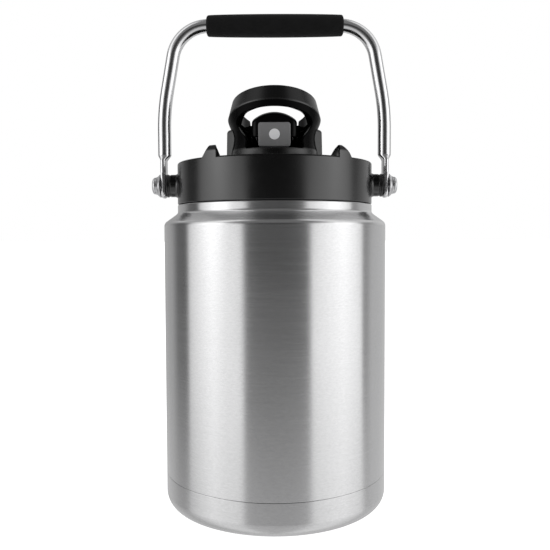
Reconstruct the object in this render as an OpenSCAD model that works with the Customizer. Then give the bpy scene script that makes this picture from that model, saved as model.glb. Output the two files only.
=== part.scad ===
// Insulated one-gallon water jug: a double-wall steel body, a screw lid with a
// carrying handle, and a push-button drinking spout with a finger loop.
// Origin at the centre of the base, +Z up, the button faces -Y. Millimetres.

/* [Body] */
// Outer radius of the body
body_r = 80; // [79:0.5:81]
// Thickness of the outer steel wall
shell_t = 1.0; // [0.8:0.1:1.2]
// Thickness of the inner steel wall
liner_t = 0.8; // [0.6:0.1:1.0]
// Height of the weld seam between the wall and the base cup
seam_z = 25; // [20:1:40]
// Rounding between the wall and the base
base_corner_r = 10.5; // [8:0.5:14]
// Height at which the wall and the shoulder cone would meet
shoulder_z = 203.7; // [200:0.1:205]
// Angle between the shoulder cone and the vertical
shoulder_a = 54; // [50:1:58]
// Outer radius of the neck band under the lid
neck_r = 70.2; // [69.5:0.1:70.5]
// Outer radius of the threaded mouth inside the lid
mouth_r = 66; // [65.5:0.1:66.2]
// Height of the lip of the mouth
lip_z = 237; // [236:0.5:237]

/* [Lid] */
// Outer radius of the lid
lid_r = 70.2; // [69.8:0.1:70.5]
// Lower edge of the lid
lid_z0 = 217.4; // [217.3:0.1:218]
// Upper edge of the lid's rim
lid_z1 = 246.5; // [246:0.5:248]
// Height of the four grip lugs above the rim
lug_h = 6.9; // [4:0.1:8]
// Length of each lug, from the front or the back towards the middle
lug_len = 26; // [16:1:30]

/* [Handle] */
// Height of the axis that the handle turns on
pivot_z = 231.3; // [230:0.1:232]
// Outer diameter of the handle tube
tube_d = 9.5; // [9:0.1:9.5]
// Wall of the handle tube
tube_t = 1.2; // [1:0.1:1.5]
// Distance from the middle to the upright part of the tube
leg_x = 80; // [79.8:0.05:80.4]
// Lean of the upper legs towards the middle
leg_a = 10; // [8:1:12]
// Height at which the legs begin to lean
lean_z = 286; // [283:1:287]
// Height of the grip's axis
grip_z = 346.2; // [342:0.1:350]
// Bend radius of the upper corners
corner_r = 26; // [24:1:28]
// Diameter of the foam grip at its middle
grip_d = 16.3; // [15.6:0.1:17]
// Length of the foam grip
grip_len = 97.5; // [80:0.5:98]

/* [Spout head] */
// Bore radius of the drinking spout
spout_bore_r = 9; // [9:0.1:9.2]
// Outer radius of the drinking spout
spout_r = 11.5; // [11.3:0.1:11.5]
// Height of the top of the spout
spout_z = 274; // [273:0.1:274]
// Outer radius of the finger loop at its lower edge
loop_r = 33.5; // [33:0.1:33.7]
// Inner radius of the finger loop
loop_in_r = 25.5; // [25.4:0.1:26]
// Depth of the finger loop's band
loop_h = 12; // [10:0.1:12.5]
// Rise of the finger loop towards the front
loop_a = 16; // [15:0.5:17]
// Width of the push button
button_w = 22.3; // [18:0.5:24]
// Height of the push button
button_h = 16.7; // [15:0.1:16.7]
// Travel of the push button
button_travel = 2.5; // [1:0.1:2.5]

/* [Hidden] */

// Smoothness of round solids
$fn = 96;
// Segments in a rounded corner of a profile
corner_n = 6;
// Height that runs past a face in a cut
cut = 1;
// Running clearance between a pin and its hole
run = 0.05;
// Gap between pieces that move past each other
gap = 0.3;

// Body
steel = [0.72, 0.72, 0.73];
black = [0.07, 0.07, 0.07];
shoulder_rc = 4;
shoulder_rn = 3;
vacuum_gap = 4.2;
liner_r = body_r - vacuum_gap;
liner_neck_r = mouth_r - 1.8;
liner_shoulder_z = shoulder_z - 1.9;
liner_z = 9;
liner_corner_r = 10;
neck_top_z = lid_z0 - 0.4;
neck_edge_r = 1;
foot_r = body_r - base_corner_r;
foot_w = 6;
recess_z = 3;
recess_slope = 4;
seal_r = 2;
getter_r = 6;
getter_h = 2;
base_disc_r = 30;
base_disc_t = 0.8;

// Lid
skirt_t = 3.2;
deck_z = lid_z1 - 2;
deck_t = 3;
rim_t = 3.6;
rim_edge = 1.2;
head_hole_r = 31;
plug_r = liner_neck_r - liner_t - 0.8;
plug_t = 2;
plug_z = 222;
gasket_z = lip_z + gap;
gasket_t = 1.3;
flange_z = gasket_z + gasket_t + gap;
flange_r = lid_r - skirt_t - 0.4;
foam_in_r = 22.5;
boss_r = 8.1;
boss_x = 75.6;
boss_fillet = 2;
// Outline of the front lugs along X, from the middle outwards: foot, top, top, foot
lug_left = [36.4, 38.6, 42.6, 48.2];
lug_right = [37.6, 42.0, 45.6, 51.2];

// Pivot hardware, as distances from the middle along X
screw_r = 4;
insert_r = 5.6;
insert_x = 67.3;
spacer_r = 8.3;
spacer_neck_r = 7.8;
spacer_neck_t = 1.4;
plate_x = 78.7;
plate_t = 3.85;
strap_w = 13;
strap_end_z = 222.3;
strap_corner = 4.5;
flat_top_z = 249.5;
round_z = 253.6;
washer_r = 8.3;
washer_top_r = 6.5;
washer_t = 2.2;
washer_edge = 0.6;
washer_x = plate_x + plate_t + gap;
head_x = washer_x + washer_t;
head_r = 6.3;
head_edge = 2;
head_len = 3.85;

// Handle path: the leg bends by leg_a, and then the corner by the rest
lean_r = 160;
lean_t = lean_r * tan(leg_a / 2);
corner_a = 90 - leg_a;
corner_t = corner_r * tan(corner_a / 2);
bend_x = leg_x - (grip_z - lean_z) * tan(leg_a) - corner_t;
tube_start_z = round_z - 1.5;
tube_n = 24;
lean_n = 4;
bend_n = 12;

// Spout head
wall_in_r = 25;
wall_z = [deck_z - 6.5, 246, 255, 260, 264.4, 268, 272.4, 275.2, 278.2, 290];
wall_r = [head_hole_r, 31, 31.5, 30.4, 30.05, 30.6, 31.8, 33.1, 33.7, 33.7];
floor_z = 248;
floor_t = 3;
loop_z = 278.2;
loop_gap = 0.4;
// Front window of the wall: half width and height, from the bottom upwards
window = [
    [19.8, 256], [20, 262.3], [22.2, 265], [25, 268.2], [26.4, 271.7], [25.6, 275], [22.2, 279.2],
    [17.2, 281.2], [10, 282.8], [0, 283.4]
];
pod_x = 34.3;
pod_y = [-5, 13];
pod_z = 271;
pod_r = 3;
axis_y = 25;
axis_z = 276.5;
pin_r = 1.5;
pin_len = 46;
ear_x = [10.3, 15.3];
ear_r = 3.8;
knuckle_x = 10;
eye_x = [18.2, 22.7];
loop_eye_r = 4.3;
relief_r = 6.9;
cover_x = 16;
cover_y = [-19.5, 19.5];
cover_z = 264;
dome_r = 23.4;
dome_z = 283.6;
crown_y = -2;
crown_r = 50;
cavity_x = 13.2;
ceiling_z = 277;
seal_gap = 0.3;
button_y = -29;
button_t = 4.2;
button_z = 256.1;
stem_w = 10;
stem_z = [256.6, 261.5];
stem_y = -16;
stop_y = -12.4;
dot_r = 3.75;
dot_t = 0.8;
vent_y = 17;

// Points of an arc of radius r about [x, y], from angle a to angle b
function arc(x, y, r, a, b, n = corner_n) =
    [for (i = [0:n]) [x + r * cos(a + (b - a) * i / n), y + r * sin(a + (b - a) * i / n)]];

// A wall line with a shoulder: radius r below, radius q above, cone from height z.
// The convex and concave bends have radii rc and rn; d shifts the line inwards.
function shoulder(r, q, z, rc, rn, d) =
    let (
        tc = rc * tan(shoulder_a / 2),
        tn = rn * tan(shoulder_a / 2),
        zn = z + (r - q) / tan(shoulder_a)
    )
    concat(
        arc(r - rc, z - tc, rc - d, 0, shoulder_a),
        arc(q + rn, zn + tn, rn + d, 180 + shoulder_a, 180)
    );

function reversed(p) = [for (i = [len(p) - 1:-1:0]) p[i]];

module both_sides() {
    children();
    mirror([1, 0, 0]) children();
}

module along_x(x) {
    translate([x, 0, 0]) rotate([0, 90, 0]) children();
}

module at_pivot() {
    translate([0, 0, pivot_z]) children();
}

module at_hinge() {
    translate([0, axis_y, axis_z]) children();
}

module ring(r_out, r_in, h) {
    difference() {
        cylinder(r = r_out, h = h);
        translate([0, 0, -cut]) cylinder(r = r_in, h = h + 2 * cut);
    }
}

// Outer steel wall, from the seam to the lip
module outer_shell() {
    outside = concat(
        [[body_r, seam_z]],
        shoulder(body_r, neck_r, shoulder_z, shoulder_rc, shoulder_rn, 0),
        arc(neck_r - neck_edge_r, neck_top_z - neck_edge_r, neck_edge_r, 0, 90),
        [[mouth_r, neck_top_z], [mouth_r, lip_z]]
    );
    inside = concat(
        [[body_r - shell_t, seam_z]],
        shoulder(body_r, neck_r, shoulder_z, shoulder_rc, shoulder_rn, shell_t),
        [
            [neck_r - shell_t, neck_top_z - shell_t],
            [mouth_r - shell_t, neck_top_z - shell_t],
            [mouth_r - shell_t, lip_z]
        ]
    );
    color(steel) rotate_extrude() polygon(concat(outside, reversed(inside)));
}

// Inner steel wall, joined to the outer one at the lip
module inner_liner() {
    rn = shoulder_rn;
    outside = concat(
        [[0, liner_z]],
        arc(liner_r - liner_corner_r, liner_z + liner_corner_r, liner_corner_r, -90, 0),
        shoulder(liner_r, liner_neck_r, liner_shoulder_z, shoulder_rc, rn, 0),
        [
            [liner_neck_r, lip_z - shell_t],
            [mouth_r - shell_t, lip_z - shell_t],
            [mouth_r - shell_t, lip_z]
        ]
    );
    inner_corner_r = liner_corner_r - liner_t;
    inside = concat(
        [[0, liner_z + liner_t]],
        arc(liner_r - liner_corner_r, liner_z + liner_corner_r, inner_corner_r, -90, 0),
        shoulder(liner_r, liner_neck_r, liner_shoulder_z, shoulder_rc, rn, liner_t),
        [[liner_neck_r - liner_t, lip_z]]
    );
    color(steel) rotate_extrude() polygon(concat(outside, reversed(inside)));
}

// Lower cup with a rounded edge, a foot ring and a raised middle
module base_cup() {
    c = body_r - base_corner_r;
    outside = concat(
        [[seal_r, recess_z], [foot_r - foot_w - recess_slope, recess_z], [foot_r - foot_w, 0]],
        arc(c, base_corner_r, base_corner_r, -90, 0),
        [[body_r, seam_z]]
    );
    inside = concat(
        [
            [seal_r, recess_z + shell_t],
            [foot_r - foot_w - recess_slope + 0.5, recess_z + shell_t],
            [foot_r - foot_w + 0.5, shell_t]
        ],
        arc(c, base_corner_r, base_corner_r - shell_t, -90, 0),
        [[body_r - shell_t, seam_z]]
    );
    color(steel) rotate_extrude() polygon(concat(outside, reversed(inside)));
}

// Gas-absorbing pill under the liner
module vacuum_getter() {
    color([0.35, 0.36, 0.38])
        translate([0, 0, liner_z - getter_h]) cylinder(r = getter_r, h = getter_h);
}

// Solder plug that closes the evacuation hole
module evacuation_seal() {
    color([0.55, 0.56, 0.58])
        translate([0, 0, recess_z]) cylinder(r = seal_r, h = shell_t + 0.4);
}

// Thin disc over the evacuation hole
module base_disc() {
    color(steel) translate([0, 0, recess_z - base_disc_t])
        cylinder(r = base_disc_r, h = base_disc_t);
}

// Flat silicone ring between the lip and the lid
module lid_gasket() {
    color([0.85, 0.85, 0.85]) translate([0, 0, gasket_z])
        ring(mouth_r, liner_neck_r - liner_t, gasket_t);
}

// Front outline of one grip lug
module lug_outline(x) {
    top = lid_z1 + lug_h;
    r = 1.5;
    polygon(concat(
        [[x[0], deck_z - 1], [x[0], lid_z1]],
        arc(x[1] + r, top - r, r, 160, 90, 3),
        arc(x[2], top - r, r, 90, 40, 3),
        [[x[3], lid_z1], [x[3], deck_z - 1]]
    ));
}

// A lug runs in from the lid's wall and slopes down towards the middle
module lug(x) {
    intersection() {
        translate([0, lug_len - lid_r + 16, 0]) rotate([90, 0, 0])
            linear_extrude(height = lug_len) lug_outline(x);
        translate([0, 0, deck_z - 1]) cylinder(r = lid_r, h = 20);
        translate([0, -lid_r + 18, lid_z1 + lug_h]) rotate([-22, 0, 0])
            translate([0, -40, -40]) cube([60, 80, 40]);
    }
}

// Lid: skirt, deck, rim, four lugs and two handle bosses
module lid_shell() {
    skirt_r = lid_r - skirt_t;
    under_z = deck_z - deck_t;
    outline = concat(
        [[skirt_r, lid_z0], [lid_r - 0.4, lid_z0], [lid_r, lid_z0 + 0.4]],
        arc(lid_r - rim_edge, lid_z1 - rim_edge, rim_edge, 0, 90),
        [
            [lid_r - rim_t, lid_z1],
            [lid_r - rim_t, deck_z],
            [head_hole_r, deck_z],
            [head_hole_r, under_z],
            [skirt_r, under_z]
        ]
    );
    color(black) difference() {
        union() {
            rotate_extrude() polygon(outline);
            for (a = [0, 180]) rotate([0, 0, a]) {
                lug(lug_right);
                mirror([1, 0, 0]) lug(lug_left);
            }
            at_pivot() both_sides() along_x(skirt_r + 0.5) {
                cylinder(r = boss_r, h = boss_x - skirt_r - 0.5);
                cylinder(r1 = boss_r + 2 * boss_fillet, r2 = boss_r, h = 5.5);
            }
        }
        at_pivot() both_sides() along_x(insert_x) cylinder(r = insert_r, h = 20);
        translate([0, 0, lid_z0 - cut]) cylinder(r = skirt_r, h = under_z - lid_z0 + cut);
    }
}

// Inner pan of the lid, which hangs in the mouth
module lid_liner() {
    under_z = deck_z - deck_t;
    color(black) difference() {
        rotate_extrude() polygon([
            [spout_r, plug_z],
            [plug_r - 2, plug_z],
            [plug_r, plug_z + 2],
            [plug_r, flange_z],
            [flange_r, flange_z],
            [flange_r, under_z],
            [plug_r - plug_t, under_z],
            [plug_r - plug_t, plug_z + plug_t],
            [spout_r, plug_z + plug_t]
        ]);
        translate([0, 0, plug_z - cut]) cylinder(r = spout_r + 1.8, h = 1.8 + cut);
        translate([0, vent_y, plug_z - cut]) cylinder(r = 1.6, h = plug_t + 2 * cut);
    }
}

// Foam ring inside the lid
module lid_insulation() {
    z = plug_z + plug_t;
    color([0.9, 0.88, 0.8]) translate([0, 0, z])
        ring(plug_r - plug_t, foam_in_r + 9, deck_z - deck_t - z);
}

// Silicone valve that lets air in while the jug pours
module vent_valve() {
    color([0.8, 0.8, 0.8]) translate([0, vent_y, plug_z - 1]) {
        cylinder(r = 4, h = 1);
        cylinder(r = 1.6, h = plug_t + 2);
    }
}

// Threaded brass sleeves in the bosses
module pivot_inserts() {
    color([0.75, 0.6, 0.3]) at_pivot() both_sides()
        along_x(insert_x) ring(insert_r, screw_r, boss_x - insert_x);
}

// Bushes that keep the handle off the lid
module pivot_spacers() {
    color(black) at_pivot() both_sides()
        along_x(boss_x) difference() {
            union() {
                cylinder(r = spacer_neck_r, h = spacer_neck_t);
                translate([0, 0, spacer_neck_t])
                    cylinder(r = spacer_r, h = plate_x - gap - boss_x - spacer_neck_t);
            }
            translate([0, 0, -cut]) cylinder(r = screw_r, h = 10);
        }
}

// Coned washers under the screw heads
module pivot_washers() {
    color([0.8, 0.8, 0.82]) at_pivot() both_sides()
        along_x(washer_x) difference() {
            union() {
                cylinder(r = washer_r, h = washer_edge);
                translate([0, 0, washer_edge])
                    cylinder(r1 = washer_r, r2 = washer_top_r, h = washer_t - washer_edge);
            }
            translate([0, 0, -cut]) cylinder(r = screw_r, h = 10);
        }
}

// Screws that the handle turns on
module pivot_screws() {
    color([0.8, 0.8, 0.82]) at_pivot() both_sides() {
        along_x(insert_x) cylinder(r = screw_r, h = head_x - insert_x);
        along_x(head_x) {
            cylinder(r = head_r, h = head_len - head_edge);
            translate([0, 0, head_len - head_edge])
                cylinder(r1 = head_r, r2 = head_r - head_edge, h = head_edge);
        }
    }
}

// Route of the tube's right half, from bottom to top, as [x, z, direction]
function half_route() = concat(
    [[leg_x, tube_start_z, 90]],
    [for (i = [0:lean_n]) let (a = leg_a * i / lean_n)
        [leg_x - lean_r * (1 - cos(a)), lean_z - lean_t + lean_r * sin(a), 90 + a]],
    [for (i = [0:bend_n]) let (a = leg_a + corner_a * i / bend_n)
        [bend_x + corner_r * cos(a), grip_z - corner_r + corner_r * sin(a), 90 + a]]
);

function route() =
    let (r = half_route())
    concat(r, [for (i = [len(r) - 1:-1:0]) [-r[i][0], r[i][1], 360 - r[i][2]]]);

// Circle of radius r round a point of the route
function tube_ring(p, r) = [
    for (i = [0:tube_n - 1]) let (a = 360 * i / tube_n)
        [p[0] + r * cos(a) * sin(p[2]), r * sin(a), p[1] - r * cos(a) * cos(p[2])]
];

// Bent tube as one closed shell: rings outside, rings inside, and two end faces
module swept_tube() {
    stations = route();
    m = len(stations);
    outer = [for (p = stations) each tube_ring(p, tube_d / 2)];
    inner = [for (p = stations) each tube_ring(p, tube_d / 2 - tube_t)];
    o = m * tube_n;
    polyhedron(
        points = concat(outer, inner),
        faces = concat(
            [for (s = [0:m - 2], i = [0:tube_n - 1]) let (k = (i + 1) % tube_n, a = s * tube_n)
                [a + i, a + tube_n + i, a + tube_n + k, a + k]],
            [for (s = [0:m - 2], i = [0:tube_n - 1]) let (k = (i + 1) % tube_n, a = o + s * tube_n)
                [a + k, a + tube_n + k, a + tube_n + i, a + i]],
            [for (i = [0:tube_n - 1]) let (k = (i + 1) % tube_n) [i, k, o + k, o + i]],
            [for (i = [0:tube_n - 1]) let (k = (i + 1) % tube_n, a = (m - 1) * tube_n)
                [a + k, a + i, o + a + i, o + a + k]]
        )
    );
}

// Bent steel tube with flattened ends that turn on the screws
module handle_tube() {
    color([0.8, 0.8, 0.82]) difference() {
        union() {
            swept_tube();
            both_sides() translate([plate_x, 0, 0]) rotate([90, 0, 90])
                linear_extrude(height = plate_t) hull() {
                    for (s = [-1, 1])
                        translate([s * (strap_w / 2 - strap_corner), strap_end_z + strap_corner])
                            circle(r = strap_corner, $fn = 48);
                    translate([-strap_w / 2, flat_top_z - 1]) square([strap_w, 1]);
                }
            both_sides() hull() {
                translate([plate_x, -strap_w / 2, flat_top_z - 0.5]) cube([plate_t, strap_w, 0.1]);
                translate([leg_x, 0, round_z - 0.1]) cylinder(d = tube_d, h = 0.1, $fn = tube_n);
            }
        }
        at_pivot() both_sides() along_x(plate_x - cut)
            cylinder(r = screw_r + run, h = plate_t + 2 * cut);
    }
}

// Foam sleeve, a little thicker in the middle
module handle_grip() {
    r = grip_d / 2;
    end_r = r - 0.7;
    edge = 2;
    half = grip_len / 2;
    outline = concat(
        [[tube_d / 2, -half]],
        arc(end_r - edge, -half + edge, edge, -90, 0),
        [[r - 0.1, -half / 2], [r, 0], [r - 0.1, half / 2]],
        arc(end_r - edge, half - edge, edge, 0, 90),
        [[tube_d / 2, half]]
    );
    color(black) translate([0, 0, grip_z]) along_x(0) rotate_extrude() polygon(outline);
}

// Half-space above the plane that the finger loop rests on
module above_loop_plane(lift) {
    translate([0, 0, loop_z + lift]) rotate([-loop_a, 0, 0])
        translate([-60, -60, 0]) cube([120, 120, 60]);
}

// Waisted wall, floor, side pods and hinge ears around the spout
module spout_housing() {
    outline = concat(
        [for (i = [0:len(wall_z) - 1]) [wall_r[i], wall_z[i]]],
        [
            [wall_in_r + 1.5, 290],
            [wall_in_r + 1.5, 270],
            [wall_in_r, 265],
            [wall_in_r, floor_z + floor_t],
            [spout_r, floor_z + floor_t],
            [spout_r, floor_z],
            [wall_in_r, floor_z],
            [wall_in_r + 2, wall_z[0]]
        ]
    );
    window_outline = concat(window, [for (i = [len(window) - 2:-1:0]) [-window[i][0], window[i][1]]]);
    color(black) {
        difference() {
            union() {
                rotate_extrude() polygon(outline);
                both_sides() pod();
            }
            above_loop_plane(-loop_gap);
            rotate([90, 0, 0]) linear_extrude(height = 60) polygon(window_outline);
            translate([-ear_x[1] - 2, 0, axis_z - 9]) cube([2 * ear_x[1] + 4, 60, 30]);
            at_hinge() both_sides() along_x(ear_x[1] + 1.8) cylinder(r = relief_r, h = 30);
            translate([0, vent_y, floor_z - cut]) cylinder(r = 1.5, h = floor_t + 2 * cut);
        }
        both_sides() hinge_ear();
        button_guide();
    }
}

// Upright rib on each side of the head
module pod() {
    w = pod_x - wall_in_r - 2;
    difference() {
        translate([wall_in_r + 2, pod_y[0], deck_z])
            cube([w, pod_y[1] - pod_y[0], pod_z - deck_z]);
        translate([pod_x - pod_r, pod_y[0] - cut, pod_z - pod_r]) difference() {
            cube([pod_r + cut, 40, pod_r + cut]);
            rotate([-90, 0, 0]) cylinder(r = pod_r, h = 40);
        }
        translate([0, 0, deck_z - cut]) cylinder(r = wall_in_r + 2, h = 40);
    }
}

module hinge_ear() {
    w = ear_x[1] - ear_x[0];
    difference() {
        union() {
            at_hinge() along_x(ear_x[0]) cylinder(r = ear_r, h = w);
            translate([ear_x[0], axis_y - ear_r, floor_z + floor_t - 0.5])
                cube([w, 2 * ear_r, axis_z - floor_z - floor_t + 0.5]);
        }
        at_hinge() along_x(ear_x[0] - cut) cylinder(r = pin_r, h = w + 2 * cut);
        difference() {
            translate([0, axis_y - ear_r - cut, floor_z]) cube([40, 20, 18]);
            cylinder(r = wall_in_r + 3, h = 300);
        }
    }
}

// Two rails beside the button's stem and a stop behind it
module button_guide() {
    rail_x = stem_w / 2 + gap;
    z = floor_z + floor_t - 0.5;
    both_sides() translate([rail_x, stem_y - 5, z]) cube([2.5, 8.6, stem_z[1] - z]);
    translate([-rail_x - 2.5, stop_y, z]) cube([2 * rail_x + 5, 1, stem_z[1] - z]);
}

// Drinking spout, from under the lid to just below the cover's seal
module spout_tube() {
    lip = 0.8;
    color(black) rotate_extrude() polygon([
        [spout_bore_r, plug_z - 2],
        [spout_r, plug_z - 2],
        [spout_r, floor_z - 2],
        [spout_r + 3, floor_z - 2],
        [spout_r + 3, floor_z],
        [spout_r, floor_z],
        [spout_r, spout_z - lip],
        [spout_r - lip, spout_z],
        [spout_bore_r + lip, spout_z],
        [spout_bore_r, spout_z - lip]
    ]);
}

module spout_oring() {
    color([0.8, 0.8, 0.8]) translate([0, 0, plug_z + 0.9])
        rotate_extrude() translate([spout_r + 0.9, 0]) circle(r = 0.9, $fn = 32);
}

// Steel pin through the ears, the cover and the loop
module hinge_pin() {
    color([0.7, 0.7, 0.72]) at_hinge() along_x(-pin_len / 2) cylinder(r = pin_r, h = pin_len);
}

// Torsion spring, wound round the pin between an ear and the loop
module cover_spring() {
    wire_r = 0.45;
    coil_r = pin_r + 0.7;
    color([0.6, 0.6, 0.62]) at_hinge() both_sides() along_x(ear_x[1] + wire_r)
        rotate_extrude() translate([coil_r, 0]) circle(r = wire_r, $fn = 24);
}

// Finger loop: a tilted ring, open at the back, with an eye on each arm
module finger_loop() {
    draft = 3.5;
    edge = 1;
    outline = [
        [loop_in_r, edge],
        [loop_in_r + edge, 0],
        [loop_r - edge, 0],
        [loop_r, edge],
        [loop_r - draft, loop_h - edge],
        [loop_r - draft - edge, loop_h],
        [loop_in_r + edge, loop_h],
        [loop_in_r, loop_h - edge]
    ];
    color(black) difference() {
        union() {
            translate([0, 0, loop_z]) rotate([-loop_a, 0, 0]) rotate_extrude() polygon(outline);
            at_hinge() both_sides() along_x(eye_x[0])
                cylinder(r = loop_eye_r, h = eye_x[1] - eye_x[0]);
        }
        translate([-eye_x[0], 0, 240]) cube([2 * eye_x[0], 60, 80]);
        translate([-60, 5.7, 289]) rotate([-26.5, 0, 0]) cube([120, 60, 30]);
        at_hinge() along_x(-40) cylinder(r = pin_r + run, h = 80);
    }
}

// Domed cover, open below and behind so that it swings clear of the spout
module flip_cover() {
    plan_r = 4;
    color(black) difference() {
        union() {
            intersection() {
                translate([0, cover_y[1], dome_z - dome_r]) rotate([90, 0, 0])
                    cylinder(r = dome_r, h = cover_y[1] - cover_y[0]);
                translate([-cover_x - 1, crown_y, dome_z - crown_r]) rotate([0, 90, 0])
                    cylinder(r = crown_r, h = 2 * cover_x + 2);
                translate([0, 0, cover_z]) linear_extrude(height = 40) union() {
                    translate([-cover_x, cover_y[0] + plan_r])
                        square([2 * cover_x, cover_y[1] - cover_y[0] - plan_r]);
                    translate([-cover_x + plan_r, cover_y[0]])
                        square([2 * (cover_x - plan_r), 2 * plan_r]);
                    for (s = [-1, 1]) translate([s * (cover_x - plan_r), cover_y[0] + plan_r])
                        circle(r = plan_r, $fn = 48);
                }
            }
            at_hinge() along_x(-knuckle_x) cylinder(r = ear_r, h = 2 * knuckle_x);
            translate([-knuckle_x, cover_y[1] - 4, axis_z - 1.5])
                cube([2 * knuckle_x, axis_y - cover_y[1] + 4, 5.3]);
        }
        translate([-cavity_x, -cavity_x, cover_z - cut])
            cube([2 * cavity_x, 60, ceiling_z - cover_z + cut - 4]);
        translate([0, 0, cover_z - cut]) cylinder(r = cavity_x, h = ceiling_z - cover_z + cut);
        translate([-cover_x - cut, 10, cover_z - cut])
            cube([2 * cover_x + 2 * cut, 20, ceiling_z - cover_z - 3]);
        at_hinge() along_x(-40) cylinder(r = pin_r + run, h = 80);
    }
}

// Silicone plug that closes the spout
module cover_seal() {
    color([0.8, 0.8, 0.8]) {
        translate([0, 0, spout_z + seal_gap])
            cylinder(r = spout_r, h = ceiling_z - spout_z - seal_gap);
        translate([0, 0, spout_z - 1.5]) cylinder(r = spout_bore_r - 0.7, h = 2);
    }
}

module rounded_plate(w, h, r) {
    for (x = [-1, 1], y = [-1, 1])
        translate([x * (w / 2 - r), y * (h / 2 - r)]) circle(r = r, $fn = 32);
    square([w - 2 * r, h], center = true);
    square([w, h - 2 * r], center = true);
}

// Push button with a hollow stem for its spring
module latch_button() {
    mid_z = button_z + button_h / 2;
    color([0.35, 0.35, 0.36]) difference() {
        union() {
            translate([0, button_y + button_t, mid_z]) rotate([90, 0, 0])
                linear_extrude(height = button_t) rounded_plate(button_w, button_h, 1.6);
            translate([-stem_w / 2, button_y + button_t - 1, stem_z[0]])
                cube([stem_w, stem_y - button_y - button_t + 1, stem_z[1] - stem_z[0]]);
        }
        translate([0, stem_y + cut, (stem_z[0] + stem_z[1]) / 2]) rotate([90, 0, 0])
            cylinder(r = 1.9, h = 5 + cut);
        translate([0, button_y + dot_t, mid_z + 0.1]) rotate([90, 0, 0])
            cylinder(r = dot_r, h = dot_t + cut);
    }
}

module button_dot() {
    color([0.75, 0.75, 0.75])
        translate([0, button_y + dot_t, button_z + button_h / 2 + 0.1]) rotate([90, 0, 0])
            cylinder(r = dot_r, h = dot_t);
}

// Compression spring in the button's stem, as a ribbed sleeve of close coils
module button_spring() {
    wire_r = 0.35;
    coils = 8;
    color([0.6, 0.6, 0.62])
        translate([0, stem_y - 4.6, (stem_z[0] + stem_z[1]) / 2]) rotate([-90, 0, 0])
            rotate_extrude() for (i = [0:coils - 1])
                translate([1.4, (2 * i + 1) * wire_r * 0.95]) circle(r = wire_r, $fn = 16);
}

outer_shell();
base_cup();
inner_liner();
vacuum_getter();
evacuation_seal();
base_disc();
lid_gasket();
lid_shell();
lid_liner();
lid_insulation();
vent_valve();
pivot_inserts();
pivot_spacers();
pivot_washers();
pivot_screws();
handle_tube();
handle_grip();
spout_housing();
spout_tube();
spout_oring();
hinge_pin();
cover_spring();
finger_loop();
flip_cover();
cover_seal();
latch_button();
button_dot();
button_spring();
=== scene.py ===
import math

import bmesh
import bpy
from mathutils import Matrix, Vector


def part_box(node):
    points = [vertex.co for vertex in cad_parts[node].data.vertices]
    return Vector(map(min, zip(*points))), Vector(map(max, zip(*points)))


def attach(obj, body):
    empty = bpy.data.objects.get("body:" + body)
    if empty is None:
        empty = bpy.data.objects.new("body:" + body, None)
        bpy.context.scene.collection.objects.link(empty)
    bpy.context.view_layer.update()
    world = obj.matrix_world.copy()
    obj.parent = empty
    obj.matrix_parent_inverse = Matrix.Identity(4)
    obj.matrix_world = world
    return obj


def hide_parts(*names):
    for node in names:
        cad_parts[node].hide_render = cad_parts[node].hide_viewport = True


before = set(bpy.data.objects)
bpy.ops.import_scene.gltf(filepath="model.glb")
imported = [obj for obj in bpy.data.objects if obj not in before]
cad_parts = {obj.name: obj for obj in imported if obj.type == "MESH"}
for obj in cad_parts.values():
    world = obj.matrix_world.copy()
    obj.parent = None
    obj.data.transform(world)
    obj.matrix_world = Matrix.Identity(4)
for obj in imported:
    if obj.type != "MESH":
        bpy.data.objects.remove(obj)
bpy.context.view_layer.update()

# Insulated water jug with a screw lid, a carrying handle and a push-button spout.
# Shapes are written in millimetres in the CAD frame and scaled to metres when a mesh is made.
MM = 0.001
TAU = 2 * math.pi


def box_mm(node):
    lo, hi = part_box(node)
    return Vector(lo) * 1000, Vector(hi) * 1000


PLAY = 0.3  # between the handle's straps and the bushes and washers
WASHER_T = 2.2

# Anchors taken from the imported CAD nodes
BODY_R = box_mm("outer_shell")[1].x
LIP_Z = box_mm("outer_shell")[1].z
SEAM_Z = box_mm("base_cup")[1].z
LID_Z0 = box_mm("lid_shell")[0].z
STRAP_X0 = box_mm("pivot_spacers")[1].x + PLAY
STRAP_X1 = box_mm("pivot_washers")[1].x - WASHER_T - PLAY
HEAD_X = box_mm("pivot_screws")[1].x
GRIP_LO, GRIP_HI = box_mm("handle_grip")
GRIP_Z = (GRIP_LO.z + GRIP_HI.z) / 2
PIN_LO, PIN_HI = box_mm("hinge_pin")
AXIS_Y = (PIN_LO.y + PIN_HI.y) / 2
AXIS_Z = (PIN_LO.z + PIN_HI.z) / 2
LOOP_R = box_mm("finger_loop")[1].x
BUTTON_LO, BUTTON_HI = box_mm("latch_button")
DOT_LO, DOT_HI = box_mm("button_dot")
SPOUT_TOP = box_mm("spout_tube")[1].z
COVER_TOP = box_mm("flip_cover")[1].z

# Other sizes that several pieces share
NECK_R = 70.2
MOUTH_R = 66.0
LID_R = 70.2
SKIRT_R = 67.0  # inside of the lid's skirt
RIM_R = 66.6  # inside of the lid's rim
RIM_Z = 246.5
DECK_Z = 244.5
DECK_LOW = 241.5
BOSS_X = 75.6  # face of the handle bosses
PIVOT_Z = 231.3
SCREW_R = 4.0
SPOUT_R = 11.5
PIN_R = 1.5
BORE_R = PIN_R + 0.06
KNUCKLE_R, KNUCKLE_HALF = 3.8, 10
EYE_R = 4.3
FLOOR_TOP = 250.4  # where the posts in the spout head start, sunk into its floor
LOOP_Z = 278.2
LOOP_H = 12.8
TILT = math.radians(16)


# ---- outlines

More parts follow.
